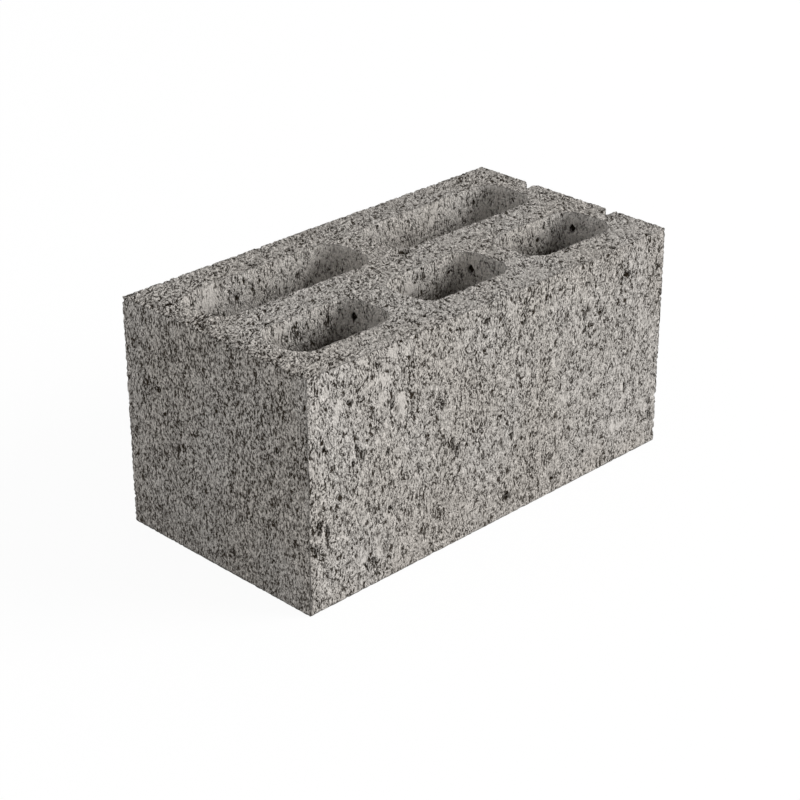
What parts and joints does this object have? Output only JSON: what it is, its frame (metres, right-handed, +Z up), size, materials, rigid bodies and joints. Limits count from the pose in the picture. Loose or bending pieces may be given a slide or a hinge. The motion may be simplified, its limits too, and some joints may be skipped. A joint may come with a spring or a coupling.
{
  "type": "hollow concrete block",
  "caption": "Hollow cast concrete block for building walls, with long and short rounded cells right through it, a plain end and an end with upright mortar grooves.",
  "frame": {"origin": "centre of the bottom bed face", "axes": "+X along the length to the grooved end, +Y along the width to the row of long cells, +Z up to the open top bed"},
  "size_m": [0.39, 0.2, 0.19],
  "materials": {
    "concrete": "rough, open-grained, as cast"
  },
  "bodies": {
    "root": {"block": "concrete"}
  },
  "joints": []
}
